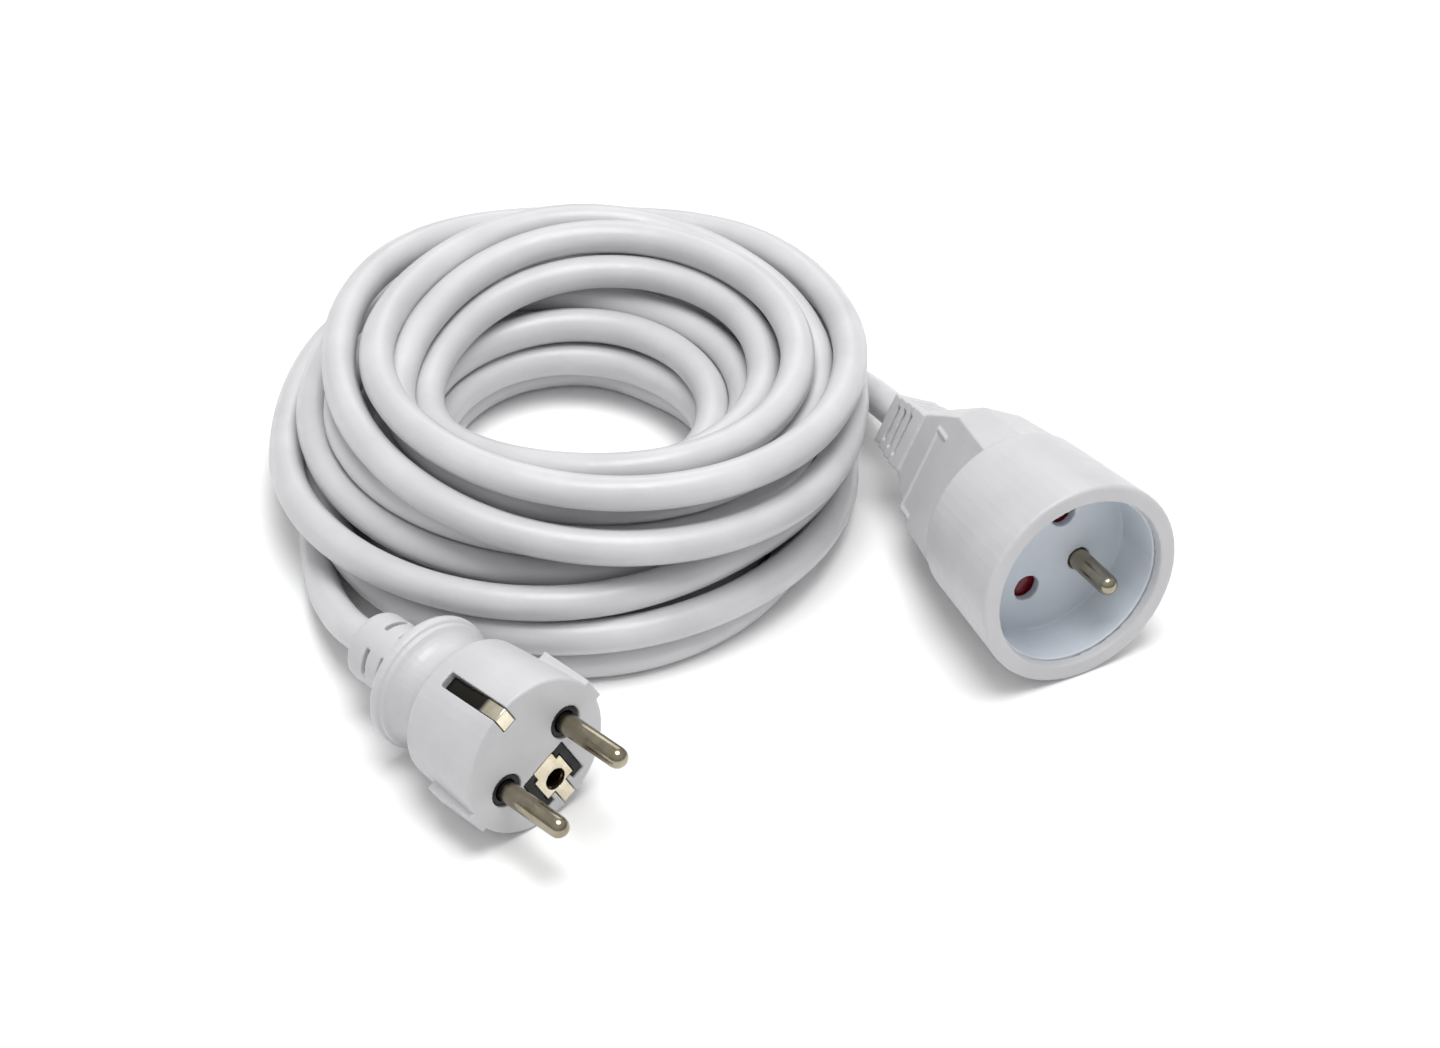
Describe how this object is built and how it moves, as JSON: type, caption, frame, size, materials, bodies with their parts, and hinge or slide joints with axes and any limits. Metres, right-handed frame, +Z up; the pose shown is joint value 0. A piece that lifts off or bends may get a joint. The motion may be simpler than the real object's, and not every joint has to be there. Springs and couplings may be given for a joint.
{
  "type": "extension cord",
  "caption": "White indoor extension cord: earthed round plug, loosely coiled round cable and an in-line socket with an earth pin and a sliding child shutter.",
  "frame": {"origin": "under the middle of the in-line socket, on the surface that everything lies on", "axes": "+Y runs along the socket from its mouth towards its cable, the mouth faces -Y, +Z is up"},
  "size_m": [0.1757, 0.1922, 0.0488],
  "materials": {
    "white_pvc": "satin moulded PVC, faintly mottled",
    "white_insert": "hard semi-gloss white",
    "grey_carrier": "moulded",
    "black_plastic": "satin",
    "red_shutter": "satin",
    "nickel_pin": "bright nickel plating, turned",
    "tinned_brass": "pale plated strip",
    "brass_contact": "stamped",
    "spring_steel": "drawn wire",
    "brown_core": "smooth",
    "blue_core": "smooth",
    "green_yellow_core": "green with a yellow stripe",
    "cable_jacket": "semi-gloss extruded PVC"
  },
  "bodies": {
    "cord_set": {"plug_moulding": "white_pvc", "plug_pin_bridge": "black_plastic", "plug_pin_left": "nickel_pin", "plug_pin_right": "nickel_pin", "plug_earth_clip_upper": "tinned_brass", "plug_earth_plate_lower": "tinned_brass", "plug_earth_sleeve": "brass_contact", "plug_earth_strap": "brass_contact", "plug_core_brown": "brown_core", "plug_core_blue": "blue_core", "plug_core_green_yellow": "green_yellow_core", "socket_moulding": "white_pvc", "socket_recess_insert": "white_insert", "shutter_spring": "spring_steel", "contact_carrier": "grey_carrier", "pin_contact_left": "brass_contact", "pin_contact_right": "brass_contact", "socket_earth_pin": "nickel_pin", "socket_core_brown": "brown_core", "socket_core_blue": "blue_core", "socket_core_green_yellow": "green_yellow_core", "cable_tail_plug": "cable_jacket", "cable_coil": "cable_jacket", "cable_tail_socket": "cable_jacket"},
    "shutter": {"child_shutter": "red_shutter"}
  },
  "joints": [
    {"name": "shutter_slide", "type": "slide", "parent": "cord_set", "child": "shutter", "axis": [-0.8627, 0.0231, 0.5052], "range_m": [0, 0.0066], "stiffness_N_per_m": 300, "springref_m": -0.003, "deforming": ["shutter_spring"]}
  ]
}
